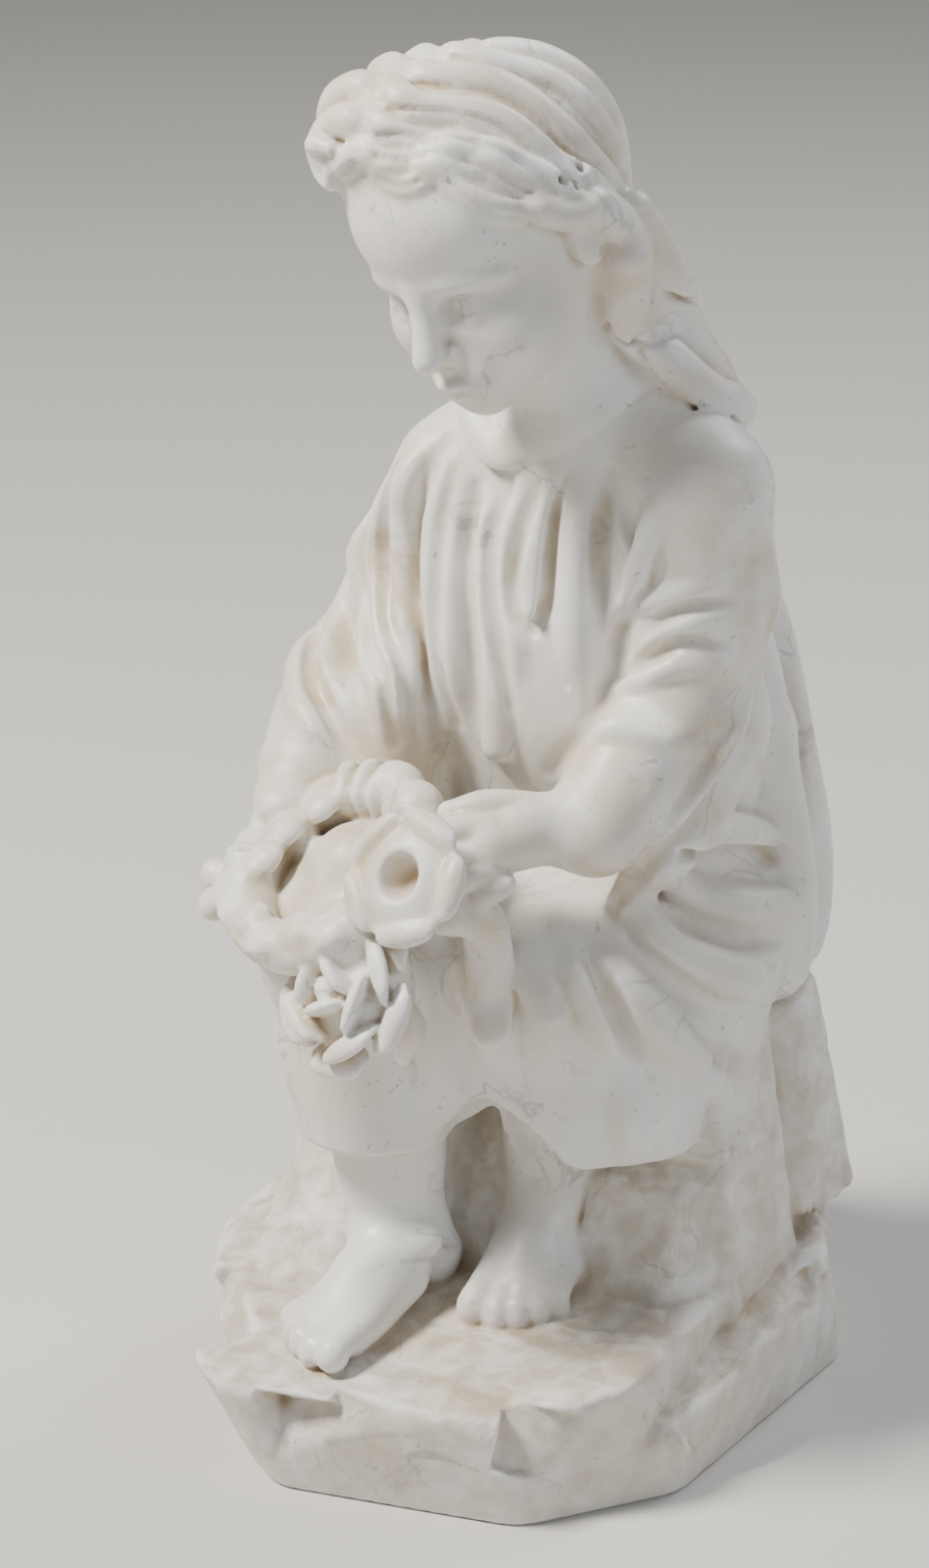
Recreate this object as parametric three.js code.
// Seated barefoot girl with a flower wreath, carved with her rock seat and ground from one block.
// Millimetres, +Z up. She faces -Y, her left side is +X, and the origin is under the middle of the ground.
// The form is a field of signed distances: shapes are blended on and cut away one after another, as a
// modeller builds up clay, then the field is meshed and thinned to a few thousand faces.
import * as THREE from "three";

// ---- driving dimensions ------------------------------------------------------------------------
const GROUND_TOP = 72; // the ground under her feet
const CELL = 4; // spacing of the meshing lattice
const FACES = 9600; // faces kept in the finished solid
const REACH = { lo: [-190, -225, 0], hi: [160, 205, 766] }; // the block that the work is carved from
const MIDDLE = [-17, -10]; // middle of the finished work in the sculptor's frame, moved to the origin

// ---- small vector helpers ----------------------------------------------------------------------
const plus = (a, b) => [a[0] + b[0], a[1] + b[1], a[2] + b[2]];
const minus = (a, b) => [a[0] - b[0], a[1] - b[1], a[2] - b[2]];
const times = (a, s) => [a[0] * s, a[1] * s, a[2] * s];
const dot = (a, b) => a[0] * b[0] + a[1] * b[1] + a[2] * b[2];
const size = (a) => Math.sqrt(dot(a, a));
const cross = (a, b) => [a[1] * b[2] - a[2] * b[1], a[2] * b[0] - a[0] * b[2], a[0] * b[1] - a[1] * b[0]];
const unit = (a) => times(a, 1 / size(a));
const mix = (a, b, t) => plus(a, times(minus(b, a), t));
const rad = (degrees) => (degrees * Math.PI) / 180;

// A local frame: bow tips its top forward, turn swings it to her left, tilt leans it to her left.
function frame(origin, bow, turn, tilt) {
  const m = new THREE.Matrix4()
    .makeRotationZ(rad(turn))
    .multiply(new THREE.Matrix4().makeRotationX(rad(bow)))
    .multiply(new THREE.Matrix4().makeRotationY(rad(tilt)));
  const e = m.elements;
  const axes = [
    [e[0], e[1], e[2]],
    [e[4], e[5], e[6]],
    [e[8], e[9], e[10]],
  ];
  return { origin, axes };
}
const WORLD = frame([0, 0, 0], 0, 0, 0);
const at = (f, p) =>
  plus(f.origin, plus(times(f.axes[0], p[0]), plus(times(f.axes[1], p[1]), times(f.axes[2], p[2]))));

// A frame placed and turned within another.
function inside(f, origin, bow, turn, tilt) {
  const own = frame([0, 0, 0], bow, turn, tilt);
  const turned = { origin: [0, 0, 0], axes: f.axes };
  return { origin: at(f, origin), axes: own.axes.map((axis) => at(turned, axis)) };
}

// ---- shapes: each has a box around it and a signed distance -------------------------------------
function boxAround(points, r) {
  const lo = [0, 1, 2].map((i) => Math.min(...points.map((p) => p[i])) - r);
  const hi = [0, 1, 2].map((i) => Math.max(...points.map((p) => p[i])) + r);
  return { lo, hi };
}

// An ellipsoid of the given half-sizes along the axes of a frame.
function egg(centre, radii, f = WORLD) {
  const [u, v, w] = f.axes;
  const [a, b, c] = radii;
  const half = [0, 1, 2].map((i) => Math.hypot(u[i] * a, v[i] * b, w[i] * c));
  return {
    lo: minus(centre, half),
    hi: plus(centre, half),
    d(x, y, z) {
      const px = x - centre[0];
      const py = y - centre[1];
      const pz = z - centre[2];
      const q0 = (px * u[0] + py * u[1] + pz * u[2]) / a;
      const q1 = (px * v[0] + py * v[1] + pz * v[2]) / b;
      const q2 = (px * w[0] + py * w[1] + pz * w[2]) / c;
      const k0 = Math.sqrt(q0 * q0 + q1 * q1 + q2 * q2);
      const k1 = Math.sqrt((q0 * q0) / (a * a) + (q1 * q1) / (b * b) + (q2 * q2) / (c * c));
      return k1 < 1e-9 ? -Math.min(a, b, c) : (k0 * (k0 - 1)) / k1;
    },
  };
}
const ball = (centre, r) => egg(centre, [r, r, r]);

// A block with rounded edges, half-sizes along the axes of a frame.
function block(centre, half, round, f = WORLD) {
  const [u, v, w] = f.axes;
  const span = (i) => Math.abs(u[i]) * half[0] + Math.abs(v[i]) * half[1] + Math.abs(w[i]) * half[2];
  const reach = [span(0), span(1), span(2)];
  return {
    lo: minus(centre, reach),
    hi: plus(centre, reach),
    d(x, y, z) {
      const p = [x - centre[0], y - centre[1], z - centre[2]];
      const qx = Math.abs(dot(p, u)) - half[0] + round;
      const qy = Math.abs(dot(p, v)) - half[1] + round;
      const qz = Math.abs(dot(p, w)) - half[2] + round;
      const out = Math.hypot(Math.max(qx, 0), Math.max(qy, 0), Math.max(qz, 0));
      return out + Math.min(Math.max(qx, qy, qz), 0) - round;
    },
  };
}

// Distance to a cone with round ends, from a (radius ra) to b (radius rb).
function coneDistance(x, y, z, s) {
  const px = x - s.a[0];
  const py = y - s.a[1];
  const pz = z - s.a[2];
  const yy = px * s.ab[0] + py * s.ab[1] + pz * s.ab[2];
  const zz = yy - s.l2;
  const vx = px * s.l2 - s.ab[0] * yy;
  const vy = py * s.l2 - s.ab[1] * yy;
  const vz = pz * s.l2 - s.ab[2] * yy;
  const x2 = vx * vx + vy * vy + vz * vz;
  const y2 = yy * yy * s.l2;
  const z2 = zz * zz * s.l2;
  const k = Math.sign(s.rr) * s.rr * s.rr * x2;
  if (Math.sign(zz) * s.a2 * z2 > k) return Math.sqrt(x2 + z2) * s.il2 - s.rb;
  if (Math.sign(yy) * s.a2 * y2 < k) return Math.sqrt(x2 + y2) * s.il2 - s.ra;
  return (Math.sqrt(x2 * s.a2 * s.il2) + yy * s.rr) * s.il2 - s.ra;
}
function coneSegment(a, b, ra, rb) {
  const ab = minus(b, a);
  const l2 = Math.max(dot(ab, ab), 1e-6);
  const rr = ra - rb;
  return { a, ab, l2, rr, a2: Math.max(l2 - rr * rr, 1e-9), il2: 1 / l2, ra, rb };
}

// Stations along a smooth line through the points, and a radius at each.
function smoothPath(points, radii, steps = 4) {
  if (points.length === 2) return [points, radii];
  const last = points.length - 1;
  const before = minus(times(points[0], 2), points[1]);
  const after = minus(times(points[last], 2), points[last - 1]);
  const p = [before, ...points, after];
  const places = [];
  const sizes = [];
  for (let k = 0; k < last; k++) {
    const [a, b] = [p[k + 1], p[k + 2]];
    const ta = times(minus(b, p[k]), 0.5);
    const tb = times(minus(p[k + 3], a), 0.5);
    for (let i = 0; i < steps; i++) {
      const t = i / steps;
      const ease = t * t * (3 - 2 * t);
      const bend = plus(times(ta, t * (1 - t) * (1 - t)), times(tb, t * t * (t - 1)));
      places.push(plus(mix(a, b, ease), bend));
      sizes.push(radii[k] + (radii[k + 1] - radii[k]) * ease);
    }
  }
  return [
    [...places, points[last]],
    [...sizes, radii[last]],
  ];
}

// A smooth strand through the points, with a radius at each. flat squeezes it along a direction.
function strand(points, radii, flat = [0, 0, 1], squeeze = 1) {
  const n = unit(flat);
  const squash = (p) => plus(p, times(n, dot(p, n) * (1 / squeeze - 1)));
  const [places, sizes] = smoothPath(points, radii);
  const segments = [];
  for (let i = 1; i < places.length; i++) {
    const [p, q] = [places[i - 1], places[i]];
    const own = boxAround([p, q], Math.max(sizes[i - 1], sizes[i]));
    segments.push({ ...coneSegment(squash(p), squash(q), sizes[i - 1], sizes[i]), ...own });
  }
  const { lo, hi } = boxAround(places, Math.max(...sizes));
  return {
    lo,
    hi,
    d(x, y, z) {
      const s = (x * n[0] + y * n[1] + z * n[2]) * (1 / squeeze - 1);
      let best = 1e9;
      for (const g of segments) {
        if (apart(g.lo, g.hi, x, y, z) > best) continue;
        best = Math.min(best, coneDistance(x + n[0] * s, y + n[1] * s, z + n[2] * s, g));
      }
      return best * (0.5 + 0.5 * squeeze);
    },
  };
}
const limb = (a, b, ra, rb) => strand([a, b], [ra, rb]);

// A convex rock: the space below every plane, each given by a compass turn, a slope and a distance.
function rock(centre, planes, round, reach) {
  const list = planes.map(([turn, slope, distance]) => {
    const level = Math.cos(rad(slope));
    const n = [Math.sin(rad(turn)) * level, -Math.cos(rad(turn)) * level, Math.sin(rad(slope))];
    return { n, w: distance };
  });
  return {
    lo: minus(centre, reach),
    hi: plus(centre, reach),
    d(x, y, z) {
      let d = -1e9;
      for (const { n, w } of list) {
        const e = (x - centre[0]) * n[0] + (y - centre[1]) * n[1] + (z - centre[2]) * n[2] - w;
        const h = Math.max(round - Math.abs(d - e), 0) / round;
        d = Math.max(d, e) + h * h * round * 0.25;
      }
      return d;
    },
  };
}

// ---- the clay -----------------------------------------------------------------------------------
const clay = [];
function add(shape, blend = 1) {
  clay.push({ shape, blend, sign: 1 });
}
function cut(shape, blend = 1) {
  clay.push({ shape, blend, sign: -1 });
}
function apart(lo, hi, x, y, z) {
  const dx = Math.max(lo[0] - x, 0, x - hi[0]);
  const dy = Math.max(lo[1] - y, 0, y - hi[1]);
  const dz = Math.max(lo[2] - z, 0, z - hi[2]);
  return Math.sqrt(dx * dx + dy * dy + dz * dz);
}
function field(x, y, z, layers) {
  let d = 60;
  for (const { shape, blend, sign } of layers) {
    if (sign > 0) {
      if (apart(shape.lo, shape.hi, x, y, z) > Math.max(d, 0) + blend) continue;
      const e = shape.d(x, y, z);
      const h = Math.max(blend - Math.abs(d - e), 0) / blend;
      d = Math.min(d, e) - h * h * blend * 0.25;
    } else {
      if (apart(shape.lo, shape.hi, x, y, z) > blend) continue;
      const e = -shape.d(x, y, z);
      const h = Math.max(blend - Math.abs(d - e), 0) / blend;
      d = Math.max(d, e) + h * h * blend * 0.25;
    }
  }
  return d;
}

// The layers of clay whose boxes come within reach of a box.
function layersNear(lo, hi, reach) {
  return clay.filter(({ shape, blend }) =>
    [0, 1, 2].every((i) => shape.lo[i] - blend - reach < hi[i] && shape.hi[i] + blend + reach > lo[i]),
  );
}

// Moves points onto the surface made so far, then out of it by their lifts.
function settle(points, lifts) {
  const { lo, hi } = boxAround(points, 0);
  const layers = layersNear(lo, hi, 40);
  const steps = [[0.5, 0, 0], [0, 0.5, 0], [0, 0, 0.5]];
  return points.map((p, k) => {
    let q = p;
    for (let i = 0; i < 8; i++) {
      const d = field(...q, layers);
      const g = steps.map((s) => field(...plus(q, s), layers) - field(...minus(q, s), layers));
      const l = Math.max(size(g), 1e-6);
      q = minus(q, times(g, ((d - lifts[k]) / l) * 0.85));
    }
    return q;
  });
}

// ---- the pose -----------------------------------------------------------------------------------
const hip = { left: [42, 66, 262], right: [-44, 66, 258] };
const knee = { left: [20, -68, 262], right: [-74, -104, 276] };
const ankle = { left: [12, -26, 122], right: [-56, -84, 112] };
const shoulder = { left: [78, 0, 514], right: [-66, 8, 496] };
const elbow = { left: [68, 0, 398], right: [-122, 30, 388] };
const wrist = { left: [46, -74, 350], right: [-122, -66, 338] };
const neck = [4, 4, 530];
const head = frame([-14, -52, 654], 24, -10, -10);
const wreath = frame([-66, -122, 320], 32, 0, -14);

// ---- trunk and gown ------------------------------------------------------------------------------
function trunk() {
  add(egg([0, 28, 462], [72, 62, 84]), 1);
  add(egg([0, 18, 388], [74, 66, 78]), 36);
  const bell = [[0, 40, 476], [0, 46, 425], [0, 52, 375], [0, 54, 325], [0, 54, 278]];
  add(strand(bell, [60, 78, 94, 102, 104], [0, 1, 0], 0.8), 20);
  const yoke = [shoulder.right, [-38, 14, 520], [6, 10, 534], [44, 12, 530], shoulder.left];
  add(strand(yoke, [33, 34, 36, 34, 33]), 26);
}

function gownOverLegs() {
  add(limb(hip.left, knee.left, 58, 40), 35);
  add(limb(hip.right, knee.right, 56, 42), 35);
  const lap = [plus(knee.left, [0, 0, -8]), [-26, -72, 258], plus(knee.right, [0, 0, -8])];
  add(strand(lap, [32, 26, 32]), 26);
  // the skirt hangs over the shins
  add(limb(plus(knee.right, [2, 6, -12]), [-64, -94, 136], 40, 36), 20);
  add(limb(plus(knee.left, [0, 4, -10]), [30, -54, 170], 40, 34), 20);
  add(strand([[-26, -70, 250], [-24, -74, 210], [-22, -76, 184]], [26, 24, 16]), 20);
  add(strand([[56, -34, 250], [60, -32, 206], [62, -26, 150]], [42, 38, 30]), 24);
  add(strand([[76, 20, 250], [76, 18, 206], [74, 16, 152]], [36, 30, 20]), 22);
}

function sleeves() {
  add(strand([shoulder.left, [80, 4, 452], elbow.left], [33, 33, 32]), 16);
  add(strand([elbow.left, [62, -36, 376], plus(wrist.left, [8, 8, 0])], [32, 31, 27]), 14);
  // the sleeve's wide mouth hangs to a point
  add(strand([[88, 12, 374], [80, -22, 340], [64, -52, 306]], [20, 20, 8]), 14);
  add(strand([shoulder.right, [-94, 14, 448], elbow.right], [33, 34, 35]), 16);
  add(strand([elbow.right, [-124, -18, 366], plus(wrist.right, [2, 8, 6])], [35, 35, 29]), 16);
  add(egg([-96, -26, 318], [34, 36, 34]), 16);
  const cuff = [[-56, -14, 446], [-72, -26, 396], [-84, -36, 350], [-84, -40, 322]];
  add(strand(cuff, [22, 30, 28, 20]), 20);
}

// A fold: a ridge laid on the cloth, fading at its start and at its end unless it ends in a bulb.
function fold(points, r, blend = 6, sink = 0.2, bulb = 0) {
  const last = points.length - 1;
  const lifts = points.map(() => -r * sink);
  const radii = points.map(() => r);
  lifts[0] = -r * 0.75;
  radii[0] = r * 0.6;
  lifts[last] = -r * (bulb ? sink : 0.75);
  radii[last] = r * (bulb ? bulb : 0.6);
  add(strand(settle(points, lifts), radii), blend);
}

// A crease: a groove sunk into the cloth, deepest along its middle.
function crease(points, r, blend = 4) {
  const last = points.length - 1;
  const lifts = points.map(() => r * 0.1);
  const radii = points.map(() => r);
  lifts[0] = r * 0.3;
  lifts[last] = r * 0.3;
  radii[0] = r * 0.5;
  radii[last] = r * 0.5;
  cut(strand(settle(points, lifts), radii), blend);
}
const midway = (a, b) => Array.from({ length: a.length }, (_, i) => mix(a[i], b[i], 0.5));

// Pleats: folds side by side, with a crease between each and the next.
function pleats(lines, r, depth, blend = 6) {
  for (const line of lines) {
    fold(line, r, blend);
  }
  for (let k = 1; k < lines.length; k++) {
    const a = lines[k - 1];
    const b = lines[k];
    crease(midway(a, b), depth);
  }
}

function foldsOfBodice() {
  const armpit = [
    [-60, -20, 524], [-72, -30, 500], [-75, -36, 466], [-64, -48, 434], [-53, -50, 396],
    [-52, -48, 366],
  ];
  crease(armpit, 8, 5);
  pleats(
    [
      [[-58, -24, 516], [-62, -34, 482], [-60, -42, 448], [-52, -46, 416], [-46, -46, 378]],
      [[-46, -28, 508], [-48, -34, 478], [-46, -40, 446], [-40, -46, 412], [-34, -48, 376]],
    ],
    8,
    4,
  );
  // a long fold that ends in a loop over the waist
  fold(
    [
      [-29, -30, 512], [-32, -34, 484], [-30, -38, 456], [-22, -44, 428], [-15, -50, 400],
      [-14, -52, 374],
    ],
    8,
    4,
    0,
    1.2,
  );
  crease([[-38, -32, 506], [-40, -36, 474], [-35, -42, 446], [-28, -48, 418], [-26, -50, 384]], 5);
  fold([[-8, -36, 520], [-18, -34, 486], [-16, -38, 458], [-6, -44, 430], [2, -48, 402]], 8, 5);
  crease([[-18, -34, 512], [-25, -34, 484], [-23, -38, 456], [-14, -44, 428], [-5, -50, 398]], 5);
  // a short one that turns up below the breast
  fold([[15, -36, 536], [6, -36, 506], [1, -37, 480], [1, -40, 462], [3, -42, 450]], 8, 4, 0, 1);
  crease([[4, -38, 530], [-5, -34, 496], [-9, -34, 468], [-6, -38, 446], [4, -42, 438]], 5);
  crease([[24, -34, 538], [14, -32, 504], [10, -33, 476], [10, -38, 456], [4, -42, 440]], 5);
  fold([[30, -30, 538], [24, -32, 504], [23, -34, 468], [28, -42, 436], [34, -44, 404]], 9, 6, 0.1);
  crease([[38, -26, 524], [34, -26, 490], [36, -28, 466], [40, -32, 440]], 5);
  // two folds meet in front of her left armpit
  fold([[42, -26, 516], [46, -26, 494], [54, -32, 476], [56, -32, 452]], 6, 4, 0);
  fold([[74, -36, 524], [65, -36, 500], [56, -32, 474], [50, -32, 448]], 7, 4, 0);
  crease([[56, -34, 514], [54, -32, 496], [54, -32, 484]], 5);
  const side = [
    [56, -28, 466], [48, -28, 442], [45, -32, 420], [42, -42, 402], [34, -48, 386], [16, -46, 364],
  ];
  crease(side, 7, 4);
  // the collar: a flat band round the neck that comes to a point in front
  const collar = [
    [-52, 18, 558], [-48, -10, 544], [-37, -24, 533], [-26, -32, 527], [-10, -34, 537], [13, -32, 551],
    [31, -20, 563], [40, 2, 575], [40, 24, 580],
  ];
  add(strand(settle(collar, Array(9).fill(1)), Array(9).fill(10), [0.1, -0.85, 0.5], 0.55), 1);
}

function foldsOfSleeves() {
  pleats(
    [
      [
        [-77, -14, 522], [-84, -26, 500], [-87, -30, 470], [-80, -40, 440], [-64, -52, 412],
        [-58, -54, 376],
      ],
      [
        [-88, -12, 506], [-102, -18, 480], [-104, -24, 450], [-88, -42, 424], [-70, -56, 404],
        [-64, -58, 372],
      ],
      [
        [-106, 0, 476], [-122, -6, 450], [-116, -24, 428], [-96, -46, 410], [-78, -62, 394],
        [-72, -62, 366],
      ],
    ],
    8,
    5,
  );
  pleats(
    [
      [[-126, 16, 432], [-134, -16, 410], [-120, -42, 398], [-100, -56, 384], [-84, -64, 364]],
      [[-146, 20, 396], [-142, -20, 388], [-130, -52, 382], [-112, -66, 370], [-94, -72, 356]],
    ],
    9,
    5,
  );
  fold([[-100, 34, 474], [-128, 48, 430], [-148, 34, 388]], 9);
  fold([[-80, 44, 470], [-100, 62, 424], [-122, 66, 384], [-138, 44, 362]], 10);
  fold([[-150, 10, 368], [-150, -24, 352], [-138, -56, 336]], 8);
  // creases where her left elbow bends
  pleats(
    [
      [[50, -26, 448], [64, -28, 460], [84, -30, 470], [100, -18, 476]],
      [[47, -30, 430], [64, -32, 441], [86, -32, 453], [104, -16, 456]],
      [[44, -36, 412], [62, -40, 424], [80, -34, 430], [100, -20, 428]],
    ],
    6,
    4,
    5,
  );
  fold([[40, -50, 396], [60, -56, 402], [84, -46, 396], [100, -30, 384]], 7, 6, 0.1);
  fold([[112, 6, 500], [116, 22, 450], [112, 36, 404]], 6);
  fold([[104, 14, 424], [110, -12, 388], [98, -44, 354], [74, -60, 318]], 7, 5, 0);
  fold([[84, -62, 372], [76, -74, 338]], 6, 5, 0);
  // the mouth of the sleeve stands clear of the gown behind it
  crease(
    [[116, 26, 450], [112, 20, 414], [106, -2, 386], [96, -34, 356], [76, -58, 320], [60, -62, 298]],
    5,
    4,
  );
}

function foldsOfSkirt() {
  // folds pulled round her left hip from the lap, with blunt ends
  fold([[92, -30, 338], [98, -4, 332], [106, 34, 320], [104, 70, 308]], 9, 6, 0.1);
  crease([[86, -36, 330], [94, -6, 318], [106, 34, 306], [104, 64, 296]], 6);
  fold([[84, -38, 314], [94, -12, 302], [106, 14, 288], [110, 44, 280]], 10, 6, 0, 1);
  crease([[82, -42, 300], [94, -18, 286], [106, 8, 270], [110, 30, 262]], 6);
  fold([[66, -56, 300], [86, -46, 286], [102, -26, 268], [108, 2, 250]], 11, 6, 0, 1);
  crease([[70, -58, 284], [86, -52, 270], [98, -36, 252], [104, -10, 232]], 7);
  fold([[58, -72, 296], [74, -72, 270], [88, -60, 244], [94, -36, 218]], 10, 6, 0, 1);
  fold([[44, -84, 296], [58, -88, 272], [68, -82, 248], [72, -70, 226]], 8, 6, 0);
  crease([[56, -84, 284], [66, -80, 262], [78, -72, 238], [82, -58, 216]], 6);
  fold([[104, 44, 430], [112, 30, 392], [106, 10, 356]], 8, 7, 0.1);
  fold([[94, 72, 420], [106, 66, 372], [110, 52, 334]], 10, 7, 0.1);
  crease([[104, 60, 420], [110, 48, 376], [108, 30, 340]], 6);
  // folds hang between the knees and over her right shin
  fold([[30, -92, 292], [46, -98, 256], [44, -86, 214]], 8);
  fold([[0, -98, 286], [16, -106, 252], [12, -92, 210]], 9);
  crease([[16, -100, 284], [32, -104, 252], [30, -92, 212]], 6);
  fold([[-22, -112, 268], [-20, -104, 226], [-30, -92, 176]], 9);
  crease([[-8, -102, 270], [-2, -100, 236], [-10, -90, 200]], 6);
  fold([[-112, -100, 262], [-100, -120, 212], [-84, -128, 170]], 7);
  fold([[-110, -60, 270], [-108, -64, 220], [-100, -74, 166]], 9);
  fold([[92, -44, 214], [96, -4, 190], [88, 24, 170]], 8);
  fold([[66, -64, 226], [72, -58, 190], [66, -50, 158]], 9);
  // her right side
  fold([[-80, 20, 300], [-104, 40, 276], [-108, 84, 262]], 9);
  fold([[-72, -10, 292], [-104, 0, 256], [-112, 40, 236]], 10);
  crease([[-80, 4, 294], [-104, 20, 264], [-110, 60, 248]], 6);
}

function foldsOfBack() {
  // pleats fall from the shoulders, open over the seat and spill unevenly over its edge
  for (let k = 0; k < 10; k++) {
    const turn = rad(-94 + k * 20 + 6 * Math.sin(k * 3.1));
    const sway = 8 * Math.sin(k * 2.3);
    const x = Math.sin(turn);
    const y = Math.cos(turn);
    const line = [
      [x * 56 + sway * 0.5, 40 + y * 48, 486 + sway],
      [x * 78 + sway, 44 + y * 66, 420],
      [x * 96, 50 + y * 78, 350],
      [x * 98 + sway, 54 + y * 80, 284],
      [x * 102, 56 + y * 84, 236],
      [x * 106, 56 + y * 88, 200 + 2 * sway],
    ];
    fold(line, 12 + 3 * Math.sin(k * 1.7), 7, 0.15);
  }
  for (let k = 0; k < 7; k++) {
    const between = rad(-80 + k * 24 + 5 * Math.sin(k * 2.2));
    const across = Math.sin(between);
    const back = Math.cos(between);
    const top = 410 + 30 * Math.sin(k * 1.4);
    const groove = [
      [across * 84, 46 + back * 70, top],
      [across * 98, 52 + back * 80, 330],
      [across * 102, 56 + back * 84, 262],
      [across * 104, 56 + back * 86, 222],
    ];
    crease(groove, 7, 7);
  }
}

function hem() {
  // the hem swings up over the left shin; the space under it is open to the rock behind
  const arch = [[-14, -86, 150], [-2, -82, 164], [14, -76, 171], [32, -64, 156], [50, -50, 132]];
  cut(strand(arch, [18, 22, 26, 24, 22]), 2);
  cut(strand([[-22, -110, 140], [-20, -66, 144], [-18, -46, 138]], [18, 20, 18]), 3);
  cut(block([-62, -96, 112], [60, 60, 53], 3, frame([0, 0, 0], 0, 0, 3)), 2);
  cut(block([40, -30, 102], [76, 72, 56], 6, frame([0, 0, 0], 0, 0, -3)), 3);
}

// ---- legs ----------------------------------------------------------------------------------------
function foot(side, heel, toes, lean) {
  const along = unit(minus(toes, heel));
  const out = unit([-along[1] * lean, along[0] * lean, 0]); // towards the little toe
  const spot = (forward, aside, up) => plus(
    plus(plus(heel, times(along, forward)), times(out, aside)),
    [0, 0, up],
  );
  add(limb(plus(ankle[side], [0, 0, 40]), ankle[side], 27, 22), 14);
  add(limb(ankle[side], spot(6, 0, 16), 22, 19), 14);
  add(strand([spot(26, 0, 34), spot(58, 1, 24), spot(90, 2, 12)], [20, 19, 12]), 12);
  add(strand([spot(30, 8, 14), spot(64, 12, 10), spot(90, 13, 9)], [14, 14, 11]), 10);
  add(strand([spot(40, -10, 18), spot(70, -11, 14), spot(92, -13, 10)], [13, 14, 11]), 10);
  add(ball(spot(32, -19, 40), 8), 10);
  add(ball(spot(26, 18, 38), 8), 10);
  const toe = [
    [-17, 94, 120, 9], [-4, 96, 119, 6.6], [6.5, 95, 114, 6.2], [16, 91, 107, 6], [24.5, 84, 98, 5.8],
  ];
  for (const [aside, start, end, r] of toe) {
    const path = [
      spot(start - 14, aside * 0.85, 12),
      spot((start + end) / 2, aside, 12),
      spot(end - r, aside, r),
    ];
    add(strand(path, [r * 1.05, r * 0.92, r]), 4);
  }
  // the clefts between the toes
  for (const [aside, end] of [[-9.4, 112], [1.4, 110], [11.3, 104]]) {
    const cleft = [spot(end - 26, aside, 19), spot(end - 12, aside, 15), spot(end, aside, 8)];
    cut(strand(cleft, [1, 2, 2.4]), 2);
  }
}

function legs() {
  add(limb(plus(knee.right, [8, 12, -40]), ankle.right, 33, 23), 2);
  add(limb(plus(knee.left, [2, 16, -30]), plus(ankle.left, [0, 2, 12]), 29, 25), 3);
  foot("right", [-42, -66, 72], [-56, -192, 64], -1);
  foot("left", [8, 8, 94], [20, -98, 70], 1);
}

// ---- hands ---------------------------------------------------------------------------------------
function finger(wrist, root, knuckle, tip, r) {
  add(strand([plus(wrist, root), plus(wrist, knuckle), plus(wrist, tip)], [r * 1.1, r, r * 0.82]), 3);
}

function hands() {
  const l = wrist.left;
  add(limb(plus(l, [16, 28, 8]), l, 21, 17), 8);
  add(strand([l, plus(l, [-14, -18, 0]), plus(l, [-26, -34, -4])], [17, 18, 16], [1, -0.8, 0], 0.8), 8);
  finger(l, [-30, -34, 6], [-46, -46, 5], [-60, -52, -1], 7);
  finger(l, [-30, -40, -5], [-44, -56, -9], [-42, -54, -22], 7);
  finger(l, [-25, -42, -14], [-36, -58, -20], [-32, -52, -32], 6.6);
  finger(l, [-18, -40, -21], [-26, -52, -29], [-22, -44, -38], 6);
  finger(l, [-12, -10, 11], [-34, -26, 15], [-52, -36, 10], 7.5);
  const r = wrist.right;
  add(limb(plus(r, [-6, 30, 8]), r, 20, 16), 6);
  add(strand([r, plus(r, [2, -18, 0]), plus(r, [8, -30, 0])], [16, 17, 14], [0, 0.2, 1], 0.8), 8);
  for (let i = 0; i < 4; i++) {
    finger(r, [-4 + i * 8, -24, -4], [0 + i * 9, -38, -12], [8 + i * 9, -38, -24], 6.6);
  }
}

// ---- head ----------------------------------------------------------------------------------------
function face() {
  const h = (p) => at(head, p);
  add(limb(neck, h([0, 20, -46]), 33, 31), 14);
  add(egg(h([0, 10, 18]), [58, 70, 60], head), 8);
  add(egg(h([0, -16, -16]), [50, 49, 58], head), 14);
  add(egg(h([0, -26, 26]), [50, 42, 40], head), 14);
  add(egg(h([0, -37, -56]), [27, 27, 22], head), 14);
  add(ball(h([0, -51, -66]), 13), 10);
  for (const s of [-1, 1]) {
    add(egg(h([s * 27, -40, -34]), [21, 20, 22], head), 12);
    cut(egg(h([s * 23, -68, -10]), [15, 13, 8], head), 9);
    add(strand([h([s * 6, -61, 1]), h([s * 23, -59, 4]), h([s * 42, -46, 0])], [3, 3.5, 2.5]), 8);
    add(egg(h([s * 22, -47, -13]), [13, 12, 11], head), 3);
    add(
      strand([h([s * 10, -55, -15]), h([s * 22, -59, -18]), h([s * 34, -53, -15])], [1.2, 2, 1.2]),
      2,
    );
  }
  add(strand([h([0, -61, 2]), h([0, -68, -16]), h([0, -76, -31])], [6, 6.5, 7.5]), 8);
  for (const s of [-1, 1]) {
    add(ball(h([s * 8, -68, -34]), 5), 4);
  }
  add(egg(h([0, -54, -51]), [21, 15, 15], head), 10);
  const upperLip = [
    [-15, -63, -54], [-6, -69.5, -50.5], [0, -70, -52], [6, -69.5, -50.5], [15, -63, -54],
  ];
  add(strand(upperLip.map((p) => h(p)), [1.5, 3, 2.6, 3, 1.5]), 2.5);
  add(strand([h([-13, -62, -55]), h([0, -69, -58.5]), h([13, -62, -55])], [1.5, 3.6, 1.5]), 2.5);
  cut(egg(h([0, -72, -64]), [10, 4, 3], head), 5);
}

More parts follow.
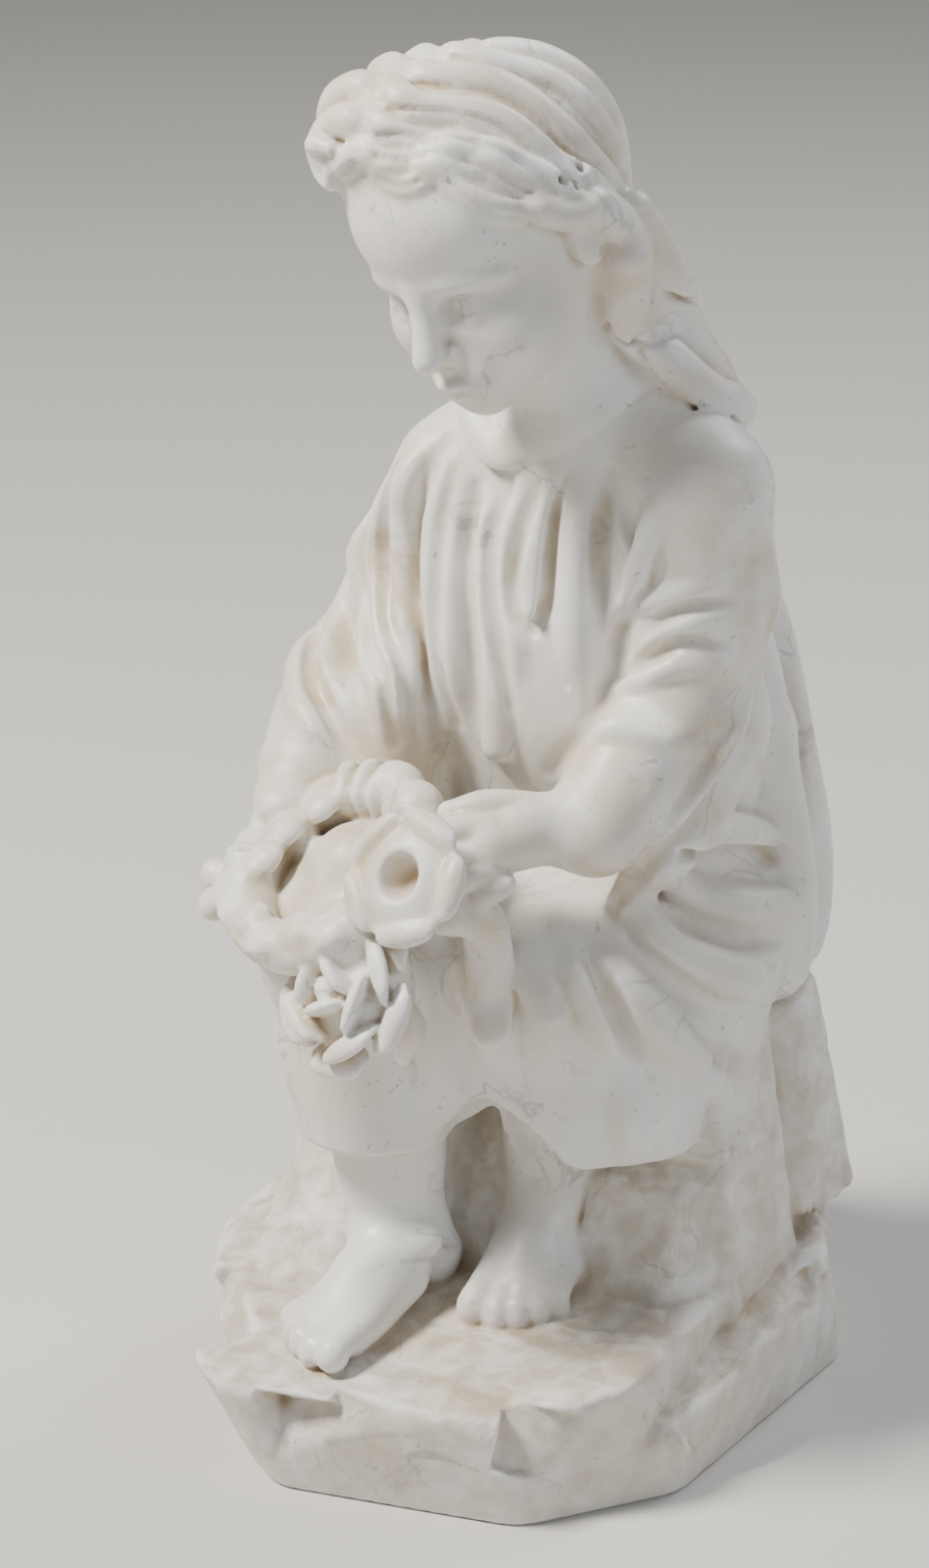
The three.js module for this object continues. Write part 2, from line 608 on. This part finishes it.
// A wavy line through points: it swings across its own run, in the plane that faces away from a centre.
function waved(points, centre, swing, waves, phase = 0) {
  const places = smoothPath(points, Array(points.length).fill(1), 2)[0];
  const last = places.length - 1;
  const route = [places[0]];
  for (let i = 1; i < last; i++) {
    const run = minus(places[i + 1], places[i - 1]);
    const side = unit(cross(run, minus(places[i], centre)));
    const sway = swing * Math.sin(2 * Math.PI * waves * i / last + phase);
    route.push(plus(places[i], times(side, sway)));
  }
  route.push(places[last]);
  return route;
}

// Combs two fine grooves along a lock, each side of its middle.
function comb(route, centre, aside) {
  for (const s of [-1, 1]) {
    const line = [];
    for (let i = 1; i < route.length - 1; i++) {
      const side = unit(cross(minus(route[i + 1], route[i - 1]), minus(route[i], centre)));
      line.push(plus(route[i], times(side, s * aside)));
    }
    cut(strand(settle(line, line.map(() => 0.2)), line.map(() => 1.8)), 1.5);
  }
}

// A lock of hair laid on the head: wavy, and sunk a little into the surface along the way.
function lock(side, points, r, blend = 4, swing = 3, waves = 1.5, phase = 0) {
  const route = waved(
    points.map((p) => at(head, [side * p[0], p[1], p[2]])),
    head.origin,
    swing,
    waves,
    phase,
  );
  const radii = route.map(() => r);
  radii[0] = r * 0.6;
  radii[route.length - 1] = r * 0.6;
  add(strand(settle(route, route.map(() => -r * 0.35)), radii), blend);
  comb(route, head.origin, r * 0.42);
}

function hair() {
  const h = (p) => at(head, p);
  add(egg(h([-3, 3, 24]), [57, 56, 64], head), 3);
  add(egg(h([-18, -20, 60]), [38, 34, 36], head), 12);
  add(egg(h([-4, 26, -10]), [44, 30, 50], head), 16);
  // the mass that falls on the back and the left shoulder
  const fall = [h([-4, 42, -22]), [-6, 36, 596], [0, 60, 552], [2, 84, 508]];
  add(strand(fall, [38, 38, 40, 22], [0, 1, 0.3], 0.55), 14);
  add(strand([h([48, 26, -30]), [42, 10, 600], [56, 22, 568], [76, 40, 546]], [20, 22, 22, 10]), 14);
  add(
    strand([h([-46, 24, -24]), [-48, 18, 590], [-52, 32, 556], [-56, 50, 522]], [20, 22, 22, 10]),
    14,
  );
  // her left side: waves swept from the parting over the temple and back
  lock(
    1,
    [
      [-2, -54, 72], [10, -57, 63], [22, -54, 62], [33, -46, 64], [43, -43, 50], [51, -36, 34],
      [58, -20, 20],
    ],
    9,
    3,
    0,
  );
  lock(
    1,
    [
      [-4, -48, 78], [12, -48, 76], [28, -40, 74], [42, -34, 62], [52, -26, 44], [58, -14, 30],
      [64, 2, 18],
    ],
    10,
    3,
    3,
    1.2,
  );
  lock(
    1,
    [
      [-6, -36, 84], [14, -36, 82], [34, -30, 72], [48, -20, 54], [56, -6, 36], [60, 8, 16],
      [60, 20, -4],
    ],
    10,
    3,
    4,
    1.4,
    0.6,
  );
  lock(
    1,
    [[-8, -20, 87], [16, -20, 84], [38, -12, 68], [52, 0, 46], [57, 14, 20], [54, 26, -10]],
    10,
    3,
    4,
    1.6,
    0.3,
  );
  lock(
    1,
    [[-8, -2, 87], [16, 0, 82], [38, 10, 62], [50, 22, 34], [51, 32, 4], [45, 40, -24]],
    10,
    3,
    4,
    1.6,
    1,
  );
  lock(
    1,
    [[-6, 18, 82], [16, 22, 72], [34, 32, 52], [42, 42, 22], [40, 50, -8], [34, 52, -36]],
    10,
    3,
    4,
    1.6,
    0.5,
  );
  lock(
    1,
    [[-4, 38, 68], [10, 44, 56], [22, 52, 32], [26, 58, 4], [24, 60, -22], [20, 58, -46]],
    10,
    3,
    3,
    1.6,
    1.2,
  );
  // her right side, in short waves
  lock(-1, [[2, -52, 74], [14, -52, 72], [26, -48, 68]], 9, 3, 2, 1);
  lock(-1, [[44, -40, 58], [50, -32, 44], [54, -26, 26], [56, -16, 6]], 10, 3, 3, 1);
  lock(
    -1,
    [[8, -42, 82], [24, -40, 78], [42, -32, 66], [54, -18, 44], [58, -8, 22], [60, 2, -2]],
    10,
    3,
    4,
    1.6,
  );
  lock(
    -1,
    [[10, -28, 86], [30, -24, 78], [48, -12, 58], [57, 2, 34], [58, 12, 8], [56, 20, -16]],
    10,
    3,
    4,
    1.8,
    0.8,
  );
  lock(
    -1,
    [[10, -10, 87], [30, -4, 77], [48, 10, 52], [54, 24, 24], [52, 32, -4], [48, 36, -26]],
    10,
    3,
    4,
    1.8,
    0.3,
  );
  lock(-1, [[8, 10, 84], [26, 18, 70], [42, 32, 44], [46, 42, 14], [42, 46, -18]], 10, 3, 4, 1.6, 1.1);
  lock(-1, [[6, 30, 74], [18, 40, 58], [30, 50, 32], [34, 56, 2], [28, 56, -30]], 10, 3, 4, 1.6, 0.5);
  lock(-1, [[4, 50, 54], [6, 58, 28], [10, 62, 0], [10, 62, -32]], 10, 3, 3, 1.2);
  // a puff over the right of the forehead, wound like a shell
  add(egg(h([-34, -42, 67]), [14, 13, 15], head), 8);
  const shell = [
    [-24, -54, 78], [-34, -53, 80], [-43, -47, 73], [-43, -49, 62], [-36, -53, 58], [-31, -54, 65],
  ];
  add(strand(shell.map((p) => h(p)), [4, 5, 5.5, 5.5, 5, 4]), 2);
  // the ear shows between the locks
  add(egg(h([57, 0, -8]), [7, 10, 17], head), 4);
  const curl = [
    h([57, -20, 22]), h([61, -8, 10]), h([64, 8, 4]), h([62, 18, -14]), h([57, 20, -34]),
    h([52, 18, -54]),
  ];
  add(strand(curl, [8, 9, 10, 11, 10, 8]), 4);
  // holes of the drill between the locks at the temple
  for (const p of [[58, -4, 27], [60, 12, 28], [58, 4, -22]]) {
    cut(strand(settle([h(p), plus(h(p), times(head.axes[0], 10))], [-7, 2]), [2.2, 3]), 1.5);
  }
  // long locks over the left shoulder and down the back
  const nape = [0, 10, 570];
  const longLocks = [
    [h([54, 22, -30]), [42, -4, 608], [48, 2, 586], [62, 20, 568], [84, 40, 550]],
    [h([52, 32, -24]), [46, 18, 600], [54, 32, 570], [66, 48, 542], [74, 58, 520]],
    [h([38, 46, -34]), [30, 36, 594], [36, 58, 556], [46, 74, 522], [48, 84, 492]],
    [h([22, 56, -40]), [14, 48, 592], [18, 74, 548], [22, 90, 510], [18, 96, 474]],
    [h([2, 60, -42]), [-6, 52, 590], [-4, 78, 546], [-6, 94, 506], [-2, 102, 466]],
    [h([-20, 56, -38]), [-26, 44, 588], [-26, 70, 548], [-28, 86, 508], [-34, 94, 480]],
    [h([-40, 44, -28]), [-46, 32, 584], [-46, 52, 548], [-50, 68, 514], [-56, 78, 492]],
    [h([-54, 22, -14]), [-60, 12, 590], [-60, 24, 556], [-64, 42, 530], [-72, 52, 508]],
  ];
  for (const [i, points] of longLocks.entries()) {
    const route = waved(points, nape, 5, 1.5, i * 0.9);
    const radii = route.map(() => 11);
    radii[route.length - 1] = 5;
    add(strand(settle(route, route.map(() => -3)), radii), 4);
    comb(route, nape, 4.5);
  }
}

// ---- wreath --------------------------------------------------------------------------------------
const RING = 51;
const onRing = (angle, out = 0, up = 0) => at(
  wreath,
  [Math.cos(rad(angle)) * (RING + out), Math.sin(rad(angle)) * (RING + out), up],
);

function ring() {
  // the cloth over the knee rises into the ring
  add(egg(at(wreath, [2, 2, -20]), [48, 48, 24], wreath), 6);
  add(ball(at(wreath, [2, 10, -12]), 26), 8);
  const points = Array.from({ length: 13 }, (_, i) => onRing(i * 30));
  add(strand(points, Array.from({ length: 13 }, (_, i) => 14 + 1.5 * Math.sin(i * 2.1))), 3);
  // turns wound round the band at the back
  for (const angle of [78, 92, 106]) {
    const turn = [
      onRing(angle, -13, -4), onRing(angle, -8, 12), onRing(angle, 8, 13), onRing(angle, 16, -2),
    ];
    add(strand(turn, [4, 5, 5, 4]), 2);
  }
}

function leaf(angle, out, up, length, width, swing) {
  const a = onRing(angle, out, up);
  const b = onRing(angle + length, out + swing, up - 2);
  const m = plus(mix(a, b, 0.5), times(wreath.axes[2], 5));
  add(strand([a, m, b], [width * 0.5, width, 3], wreath.axes[2], 0.55), 3);
}

// A petal: a thin shell that stands round a flower's middle and leans out.
function petal(f, turn, radius, height, lean, wide, tall, thick) {
  const a = rad(turn);
  const root = [Math.sin(a) * radius, -Math.cos(a) * radius, height];
  const own = inside(f, root, lean, turn, 0);
  const tip = inside(own, [0, 0, tall * 0.8], lean * 0.5 + 12, 0, 0);
  add(egg(at(own, [0, 0, tall * 0.4]), [wide, thick, tall * 0.62], own), 1.5);
  add(egg(tip.origin, [wide * 0.86, thick, tall * 0.4], tip), 2);
}

function rose(f, r) {
  add(egg(at(f, [0, 0, -r * 0.1]), [r * 0.8, r * 0.8, r * 0.4], f), 4);
  add(ball(at(f, [0, 0, r * 0.3]), r * 0.2), 2);
  for (let i = 0; i < 3; i++) {
    petal(f, i * 120 + 30, r * 0.26, r * 0.16, 4, r * 0.36, r * 0.4, r * 0.1);
  }
  for (let i = 0; i < 3; i++) {
    petal(f, i * 120 + 88, r * 0.48, r * 0.06, 22, r * 0.5, r * 0.42, r * 0.1);
  }
  for (let i = 0; i < 4; i++) {
    petal(f, i * 90 + 40, r * 0.64, -r * 0.06, 44, r * 0.54, r * 0.42, r * 0.11);
  }
  for (let i = 0; i < 5; i++) {
    petal(f, i * 72 + 12, r * 0.74, -r * 0.2, 70, r * 0.56, r * 0.44, r * 0.12);
  }
}

function trumpet(f, r) {
  add(strand([at(f, [0, 2, -r * 1.1]), at(f, [0, 0, -r * 0.2])], [r * 0.36, r * 0.62]), 4);
  add(egg(at(f, [0, 0, 0]), [r * 0.86, r * 0.9, r * 0.34], f), 4);
  for (let i = 0; i < 5; i++) {
    petal(f, i * 72 + 20, r * 0.56, -r * 0.02, 70, r * 0.62, r * 0.52, r * 0.15);
  }
  cut(egg(at(f, [0, 0, r * 0.4]), [r * 0.36, r * 0.4, r * 0.62], f), 5);
}

function flowers() {
  for (let i = 0; i < 6; i++) {
    leaf(112 + i * 15, i % 2 * 14 - 8, 9 - i % 2 * 4, 26, 11, (i % 2 * 2 - 1) * 5);
  }
  for (let i = 0; i < 7; i++) {
    leaf(186 + i * 21, i % 2 * 12 - 4, 9 - i % 2 * 3, 24, 10, 6 - i % 2 * 12);
  }
  // the trumpet flower under her left hand
  trumpet(frame([-4, -155, 340], 62, -6, 0), 31);
  add(egg([-38, -150, 284], [30, 20, 30]), 8);
  rose(frame([-35, -167, 276], 66, -18, 0), 36);
  // a bud and its leaf beside the rose
  add(strand([[-12, -156, 274], [-6, -152, 256], [-10, -150, 240]], [8, 10, 5]), 4);
  add(egg(onRing(48, 0, 8), [17, 15, 13], wreath), 4);
  add(egg(onRing(72, 4, 6), [13, 13, 13], wreath), 3);
  // the small flower with round buds on her right
  const daisy = frame(onRing(196, 8, 4), 55, -18, 0);
  for (let i = 0; i < 5; i++) {
    const a = rad(i * 72 + 30);
    add(egg(at(daisy, [Math.cos(a) * 14, Math.sin(a) * 14, 3]), [9, 9, 8], daisy), 2);
  }
  add(ball(at(daisy, [0, 0, 3]), 7), 3);
  // a ribbon falls from the trumpet over the skirt
  const ribbon = [[6, -140, 322], [12, -122, 298], [18, -110, 274], [18, -106, 250]];
  add(strand(settle(ribbon, [2, 1, 0, -1]), [11, 12, 13, 11], [0.35, -0.85, 0.45], 0.4), 2);
}

// ---- rock ----------------------------------------------------------------------------------------
function ground() {
  const slab = [
    [0, 84, 82], [11, -10, 179.5], [-35, -26, 176], [-67, -24, 142], [-92, -10, 155], [-130, 0, 206],
    [180, 3, 184], [150, 0, 176], [118, 2, 150], [90, 2, 112], [53, -3, 158.5],
  ];
  add(rock([0, 0, 0], slab, 7, [200, 230, 100]), 4);
  // the lower band along her left side, rising to the back
  const band = [
    [0, 75, 60.9], [11, -10, 177], [-35, -26, 172], [88, -8, 127.7], [120, 10, 154.7], [180, 3, 184],
    [-90, 40, -11], [53, 3, 160],
  ];
  add(rock([0, 0, 0], band, 7, [200, 230, 140]), 3);
  // the ground climbs towards the seat on her right, and under the heel of her left foot
  add(egg([-106, -28, 52], [52, 78, 52]), 20);
  add(egg([12, 14, 66], [46, 40, 26]), 14);
  const between = [
    [0, 80, 62], [-6, 20, 44], [40, 12, 46], [90, 6, 34], [180, 0, 60], [-90, 6, 40], [-50, 30, 46],
  ];
  add(rock([-24, -2, 104], between, 6, [70, 70, 80]), 8);
}

function seat() {
  const boulder = [
    [0, 86, 220], [0, 5, 10], [62, 8, 96], [96, 5, 110], [132, 5, 141], [156, 9, 176], [190, 6, 184],
    [-142, 12, 182], [-90, 8, 112], [-30, 44, 196],
  ];
  add(rock([0, 0, 0], boulder, 7, [200, 200, 260]), 8);
  // shelves broken off round it
  const beside = [
    [0, 82, 62], [-14, 16, 70], [-66, 10, 68], [-90, -4, 56], [-118, 22, 62], [172, 12, 112],
    [90, 0, 60], [-46, 50, 78], [-100, 54, 78],
  ];
  add(rock([-98, 20, 106], beside, 6, [90, 130, 80]), 6);
  const behind = [
    [0, 80, 58], [-60, 12, 56], [-130, 10, 66], [178, 3, 56], [136, 18, 44], [70, 14, 34],
    [200, 46, 66],
  ];
  add(rock([-20, 128, 112], behind, 6, [90, 90, 80]), 6);
  const slab = [
    [0, 78, 70], [10, 3, 40], [84, 5, 30], [70, 32, 58], [180, 0, 40], [-90, 0, 30], [130, 8, 36],
  ];
  add(rock([80, 24, 150], slab, 4, [50, 60, 90]), 4);
  const corner = [[0, 66, 34], [40, 12, 26], [86, 10, 24], [140, 10, 26], [180, 4, 30], [-90, 0, 30]];
  add(rock([88, 84, 176], corner, 4, [50, 60, 60]), 5);
  const ledge = [
    [0, 74, 34], [8, 16, 34], [60, 10, 34], [110, 8, 34], [180, 0, 40], [-90, 4, 30], [30, 48, 36],
  ];
  add(rock([68, -8, 112], ledge, 4, [60, 60, 60]), 5);
}

function chips() {
  // flakes struck off the rim of the ground, one after another round it
  for (let k = 0; k < 20; k++) {
    const turn = k * 18 + 6 * Math.sin(k * 2.7);
    const a = rad(turn);
    const start = [Math.sin(a) * 170, -Math.cos(a) * 195, 54 + 14 * Math.sin(k * 1.9)];
    const flake = frame([0, 0, 0], -22 + 18 * Math.sin(k * 3.3), turn, 24 * Math.sin(k * 1.3));
    const place = settle([start], [0])[0];
    const depth = 2 + 1.2 * Math.sin(k * 4.1);
    cut(block(plus(place, times(flake.axes[1], depth - 30)), [26, 30, 18], 2, flake), 3);
  }
}

trunk();
gownOverLegs();
sleeves();
foldsOfBodice();
foldsOfSleeves();
foldsOfSkirt();
foldsOfBack();
hem();
legs();
seat();
ground();
chips();
face();
hair();
hands();
ring();
flowers();

// ---- meshing ------------------------------------------------------------------------------------
// Samples the field on a lattice, block by block, with only the shapes that reach each block.
function sampleField(lo, hi, cell) {
  const n = [0, 1, 2].map((i) => Math.ceil((hi[i] - lo[i]) / cell) + 4);
  const start = [0, 1, 2].map((i) => lo[i] - cell * 1.5); // the underside falls midway between two layers
  const values = new Float32Array(n[0] * n[1] * n[2]).fill(60);
  const B = 8;
  for (let bz = 0; bz < n[2]; bz += B)
    for (let by = 0; by < n[1]; by += B)
      for (let bx = 0; bx < n[0]; bx += B) {
        const first = [bx, by, bz];
        const last = first.map((v, i) => Math.min(v + B, n[i]) - 1);
        const blo = first.map((v, i) => start[i] + v * cell);
        const bhi = last.map((v, i) => start[i] + v * cell);
        const layers = layersNear(blo, bhi, 2 * cell);
        if (!layers.length) continue;
        for (let k = bz; k <= last[2]; k++)
          for (let j = by; j <= last[1]; j++)
            for (let i = bx; i <= last[0]; i++) {
              const z = start[2] + k * cell;
              const d = field(start[0] + i * cell, start[1] + j * cell, z, layers);
              values[(k * n[1] + j) * n[0] + i] = Math.max(d, -z);
            }
      }
  return { n, start, values };
}

// Marching tetrahedra: six to a cell, so the surface is always closed and never pinched.
function meshField({ n, start, values }, cell) {
  const TETS = [
    [0, 1, 3, 7],
    [0, 5, 1, 7],
    [0, 3, 2, 7],
    [0, 2, 6, 7],
    [0, 4, 5, 7],
    [0, 6, 4, 7],
  ];
  const [row, layer] = [n[0], n[0] * n[1]];
  const step = [0, 1, row, row + 1, layer, layer + 1, layer + row, layer + row + 1];
  const positions = [];
  const found = new Map();
  const triangles = [];
  const corner = (c, i, j, k) => [i + (c & 1), j + ((c >> 1) & 1), k + (c >> 2)];
  function crossing(a, b, i, j, k, base) {
    const [p, q] = a < b ? [a, b] : [b, a];
    const key = (base + step[p]) * 8 + (q ^ p);
    if (found.has(key)) return found.get(key);
    const va = values[base + step[p]];
    const vb = values[base + step[q]];
    const t = Math.min(Math.max(va / (va - vb), 0.1), 0.9);
    const [pa, pb] = [corner(p, i, j, k), corner(q, i, j, k)];
    const id = positions.length / 3;
    for (let m = 0; m < 3; m++) positions.push(start[m] + (pa[m] + (pb[m] - pa[m]) * t) * cell);
    found.set(key, id);
    return id;
  }
  for (let k = 0; k < n[2] - 1; k++)
    for (let j = 0; j < n[1] - 1; j++)
      for (let i = 0; i < n[0] - 1; i++) {
        const base = (k * n[1] + j) * n[0] + i;
        let inside = 0;
        for (let c = 0; c < 8; c++) if (values[base + step[c]] < 0) inside |= 1 << c;
        if (inside === 0 || inside === 255) continue;
        const edge = (a, b) => crossing(a, b, i, j, k, base);
        for (const tet of TETS) {
          const within = tet.filter((c) => inside & (1 << c));
          if (within.length === 0 || within.length === 4) continue;
          const without = tet.filter((c) => !(inside & (1 << c)));
          const order = [...within, ...without].map((c) => tet.indexOf(c));
          let swaps = 0;
          for (let a = 0; a < 4; a++) for (let b = a + 1; b < 4; b++) if (order[a] > order[b]) swaps++;
          const [p, q, r, s] = [...within, ...without];
          const quad =
            within.length === 1
              ? [edge(p, q), edge(p, r), edge(p, s)]
              : within.length === 3
                ? [edge(s, p), edge(s, q), edge(s, r)]
                : [edge(p, r), edge(p, s), edge(q, s), edge(q, r)];
          if (swaps % 2) quad.reverse();
          triangles.push(quad[0], quad[1], quad[2]);
          if (quad.length === 4) triangles.push(quad[0], quad[2], quad[3]);
        }
      }
  return { positions, triangles };
}

// Keeps only the largest connected shell, so no crumb of the field is left over.
function largestShell({ positions, triangles }) {
  const parent = Int32Array.from({ length: positions.length / 3 }, (_, i) => i);
  const find = (i) => {
    while (parent[i] !== i) i = parent[i] = parent[parent[i]];
    return i;
  };
  for (let t = 0; t < triangles.length; t += 3) {
    parent[find(triangles[t])] = find(triangles[t + 1]);
    parent[find(triangles[t + 1])] = find(triangles[t + 2]);
  }
  const count = new Map();
  for (let t = 0; t < triangles.length; t += 3) {
    const r = find(triangles[t]);
    count.set(r, (count.get(r) || 0) + 1);
  }
  const [best] = [...count].sort((a, b) => b[1] - a[1])[0];
  const kept = [];
  for (let t = 0; t < triangles.length; t += 3)
    if (find(triangles[t]) === best) kept.push(triangles[t], triangles[t + 1], triangles[t + 2]);
  return { positions, triangles: kept };
}

// Thins the mesh by edge collapse with quadric errors, finest where importance says so.
function thin({ positions, triangles }, faces, importance) {
  const nv = positions.length / 3;
  const nf = triangles.length / 3;
  const pos = Float64Array.from(positions);
  const tri = Int32Array.from(triangles);
  const alive = new Uint8Array(nf).fill(1);
  const around = Array.from({ length: nv }, () => []);
  const quadric = new Float64Array(nv * 10);
  const stamp = new Int32Array(nv);
  for (let f = 0; f < nf; f++) for (let m = 0; m < 3; m++) around[tri[f * 3 + m]].push(f);
  const normalOf = (a, b, c) => {
    const ux = b[0] - a[0];
    const uy = b[1] - a[1];
    const uz = b[2] - a[2];
    const vx = c[0] - a[0];
    const vy = c[1] - a[1];
    const vz = c[2] - a[2];
    return [uy * vz - uz * vy, uz * vx - ux * vz, ux * vy - uy * vx];
  };
  const point = (v) => [pos[v * 3], pos[v * 3 + 1], pos[v * 3 + 2]];
  for (let f = 0; f < nf; f++) {
    const [a, b, c] = [point(tri[f * 3]), point(tri[f * 3 + 1]), point(tri[f * 3 + 2])];
    const n = normalOf(a, b, c);
    const l = size(n);
    if (l < 1e-12) continue;
    const [x, y, z] = times(n, 1 / l);
    const w = -(x * a[0] + y * a[1] + z * a[2]);
    const s = l * importance(times(plus(a, plus(b, c)), 1 / 3));
    const q = [x * x, x * y, x * z, x * w, y * y, y * z, y * w, z * z, z * w, w * w];
    for (let m = 0; m < 3; m++) for (let i = 0; i < 10; i++) quadric[tri[f * 3 + m] * 10 + i] += q[i] * s;
  }
  const error = (q, [x, y, z]) =>
    q[0] * x * x + 2 * q[1] * x * y + 2 * q[2] * x * z + 2 * q[3] * x + q[4] * y * y +
    2 * q[5] * y * z + 2 * q[6] * y + q[7] * z * z + 2 * q[8] * z + q[9];
  function best(u, v) {
    const q = new Array(10);
    for (let i = 0; i < 10; i++) q[i] = quadric[u * 10 + i] + quadric[v * 10 + i];
    const [a, b] = [point(u), point(v)];
    const middle = mix(a, b, 0.5);
    const matrix = new THREE.Matrix3(q[0], q[1], q[2], q[1], q[4], q[5], q[2], q[5], q[7]);
    let place = middle;
    if (Math.abs(matrix.determinant()) > 1e-6) {
      const solved = new THREE.Vector3(-q[3], -q[6], -q[8]).applyMatrix3(matrix.invert()).toArray();
      if (size(minus(solved, middle)) < size(minus(a, b)) * 1.5) place = solved;
    }
    return { place, cost: error(q, place) + 1e-7 * size(minus(a, b)) };
  }
  const heap = [];
  const before = (a, b) => a.cost < b.cost;
  function push(item) {
    let i = heap.push(item) - 1;
    while (i > 0) {
      const p = (i - 1) >> 1;
      if (!before(heap[i], heap[p])) break;
      [heap[i], heap[p]] = [heap[p], heap[i]];
      i = p;
    }
  }
  function pop() {
    const top = heap[0];
    const end = heap.pop();
    if (heap.length) {
      heap[0] = end;
      let i = 0;
      for (;;) {
        let s = i;
        for (const c of [2 * i + 1, 2 * i + 2]) if (c < heap.length && before(heap[c], heap[s])) s = c;
        if (s === i) break;
        [heap[i], heap[s]] = [heap[s], heap[i]];
        i = s;
      }
    }
    return top;
  }
  const neighbours = (v) => {
    const found = new Set();
    for (const f of around[v]) for (let m = 0; m < 3; m++) found.add(tri[f * 3 + m]);
    found.delete(v);
    return found;
  };
  const offer = (u, v) => push({ u, v, su: stamp[u], sv: stamp[v], ...best(u, v) });
  for (let v = 0; v < nv; v++) for (const u of neighbours(v)) if (u > v) offer(v, u);
  // Twice the area over the longest side squared: small for a sliver.
  function slimness([a, b, c], n) {
    const longest = Math.max(size(minus(a, b)), size(minus(b, c)), size(minus(c, a)));
    return size(n) / (longest * longest + 1e-12);
  }
  function turnsOver(v, other, place) {
    for (const f of around[v]) {
      const ids = [tri[f * 3], tri[f * 3 + 1], tri[f * 3 + 2]];
      if (ids.includes(other)) continue;
      const old = ids.map(point);
      const fresh = old.map((p, m) => (ids[m] === v ? place : p));
      const n0 = normalOf(...old);
      const n1 = normalOf(...fresh);
      const fullness = slimness(fresh, n1);
      if (dot(n0, n1) < 0.2 * size(n0) * size(n1)) return true;
      if (fullness < 0.08 && fullness < slimness(old, n0)) return true;
    }
    return false;
  }
  let left = nf;
  while (left > faces && heap.length) {
    const { u, v, su, sv, place } = pop();
    if (stamp[u] !== su || stamp[v] !== sv) continue;
    const [nu, nvv] = [neighbours(u), neighbours(v)];
    let shared = 0;
    for (const w of nu) if (nvv.has(w)) shared++;
    if (shared !== 2 || turnsOver(u, v, place) || turnsOver(v, u, place)) continue;
    for (const f of around[v]) {
      if (around[u].includes(f)) {
        alive[f] = 0;
        left--;
        for (let m = 0; m < 3; m++) {
          const w = tri[f * 3 + m];
          if (w !== v) around[w] = around[w].filter((g) => g !== f);
        }
      } else {
        for (let m = 0; m < 3; m++) if (tri[f * 3 + m] === v) tri[f * 3 + m] = u;
        around[u].push(f);
      }
    }
    around[v] = [];
    for (let m = 0; m < 3; m++) pos[u * 3 + m] = place[m];
    for (let i = 0; i < 10; i++) quadric[u * 10 + i] += quadric[v * 10 + i];
    stamp[u]++;
    stamp[v]++;
    for (const w of neighbours(u)) offer(u, w);
  }
  const renamed = new Map();
  const index = [];
  const kept = [];
  for (let f = 0; f < nf; f++) {
    if (!alive[f]) continue;
    for (let m = 0; m < 3; m++) {
      const v = tri[f * 3 + m];
      if (!renamed.has(v)) {
        renamed.set(v, kept.length / 3);
        kept.push(...point(v));
      }
      index.push(renamed.get(v));
    }
  }
  return { positions: kept, triangles: index };
}

// Face and hands keep the most faces, the underside and the plain back the fewest.
function importance([x, y, z]) {
  if (z > 545) return y < 0 ? 5 : 2;
  if (z < 1) return 0.2;
  if (y < -60 && z > 230) return 2.5;
  if (y < 0 && z > GROUND_TOP && z < 125) return 2;
  return 1;
}

const shell = largestShell(meshField(sampleField(REACH.lo, REACH.hi, CELL), CELL));
const solid = thin(shell, FACES, importance);
const geometry = new THREE.BufferGeometry();
geometry.setAttribute("position", new THREE.Float32BufferAttribute(solid.positions, 3));
geometry.setIndex(solid.triangles);
geometry.translate(-MIDDLE[0], -MIDDLE[1], 0);
geometry.computeVertexNormals();

const marble = new THREE.MeshStandardMaterial({ color: 0xe6dfd0, roughness: 0.42, metalness: 0 });
const statue = new THREE.Mesh(geometry, marble);
statue.name = "seated_girl_statue";

const group = new THREE.Group();
group.name = "seated_girl";
group.add(statue);

export default group;
